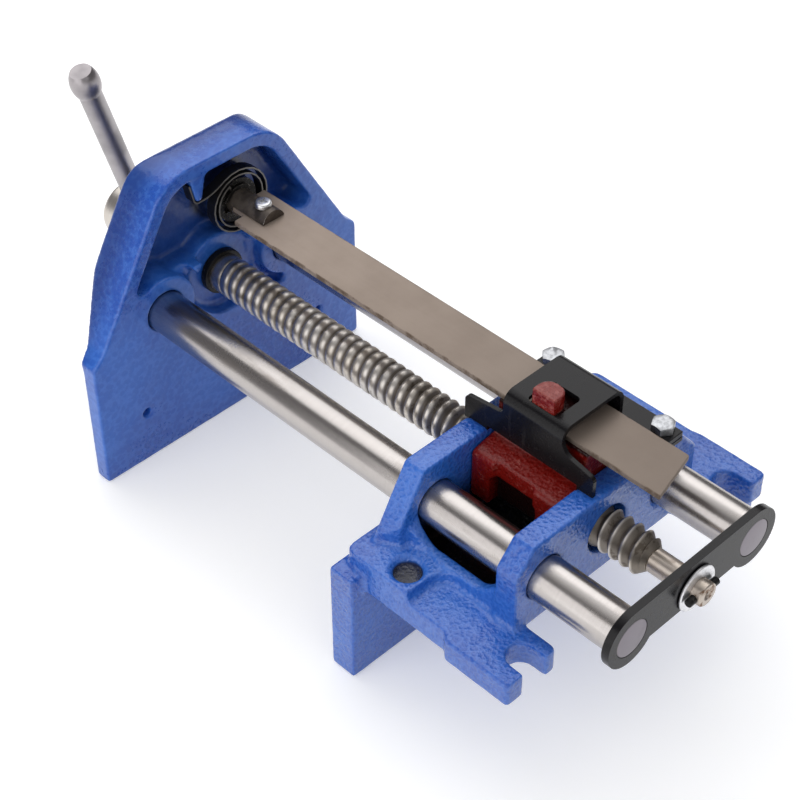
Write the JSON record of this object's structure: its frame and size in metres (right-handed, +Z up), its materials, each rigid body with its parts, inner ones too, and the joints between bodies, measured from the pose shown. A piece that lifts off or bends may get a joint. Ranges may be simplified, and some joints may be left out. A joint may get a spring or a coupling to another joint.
{
  "type": "woodworking vise",
  "caption": "Quick-release woodworking vise with two cast jaws, guide rods, a main screw with a tommy bar, a swinging half nut and a release bar under a saddle bracket.",
  "frame": {"origin": "middle of the vise's footprint at the height of the surface that its two jaws stand on", "axes": "+Y along the screw from the front jaw to the end plate, +Z up from the jaws' edges, so that the vise is upside down to its place under a bench, +X across the jaws towards the side where the half nut lies"},
  "size_m": [0.178, 0.397, 0.1932],
  "materials": {
    "blue_paint": "glossy blue enamel on a sand casting",
    "red_casting": "thin red primer on a rough casting",
    "black_sheet": "satin black coating on pressed sheet",
    "ground_steel": "ground round bar",
    "screw_steel": "turned thread with oil in its grooves",
    "bar_steel": "dull rolled flat bar",
    "zinc": "bright zinc plating",
    "black_steel": "blackened steel",
    "handle_steel": "polished round bar"
  },
  "bodies": {
    "rear_body": {"rear_casting": "blue_paint", "saddle_bracket": "black_sheet", "keeper_strip": "black_sheet", "keeper_bolt_front": "zinc", "keeper_bolt_rear": "zinc"},
    "front_body": {"front_jaw": "blue_paint", "guide_rod_left": "ground_steel", "guide_rod_right": "ground_steel", "end_plate": "black_sheet", "torsion_spring": "black_steel"},
    "screw": {"main_screw": "screw_steel", "screw_collar": "black_steel", "end_washer": "zinc", "end_pin": "black_steel"},
    "handle": {"handle_bar": "handle_steel", "handle_cap": "handle_steel"},
    "release": {"release_lever": "black_steel", "lever_pin": "black_steel", "release_spindle": "black_steel", "spring_hub": "black_steel", "release_bar": "bar_steel", "tongue_screw": "zinc"},
    "nut": {"half_nut": "red_casting"}
  },
  "joints": [
    {"name": "jaw_slide", "type": "slide", "parent": "rear_body", "child": "front_body", "axis": [0, 1, 0], "range_m": [-0.0442, 0.1688]},
    {"name": "screw_turn", "type": "hinge", "parent": "front_body", "child": "screw", "pos_m": [0, -0.1135, 0.0879], "axis": [0, 1, 0], "range_deg": [-2660, 10140]},
    {"name": "handle_slide", "type": "slide", "parent": "screw", "child": "handle", "axis": [0.2689, 0, 0.9632], "range_m": [-0.0763, 0.052]},
    {"name": "release_turn", "type": "hinge", "parent": "front_body", "child": "release", "pos_m": [-0.0115, -0.1135, 0.1278], "axis": [0, -1, 0], "range_deg": [0, 9], "stiffness_Nm_per_rad": 2, "springref_deg": -22.92},
    {"name": "nut_swing", "type": "hinge", "parent": "rear_body", "child": "nut", "pos_m": [-0.0115, 0.104, 0.1278], "axis": [0, -1, 0], "range_deg": [0, 9]}
  ],
  "couplings": [
    {"joint": "screw_turn", "follows": "jaw_slide", "rad_per_m": 1047.2},
    {"joint": "nut_swing", "follows": "release_turn", "ratio": 1}
  ]
}
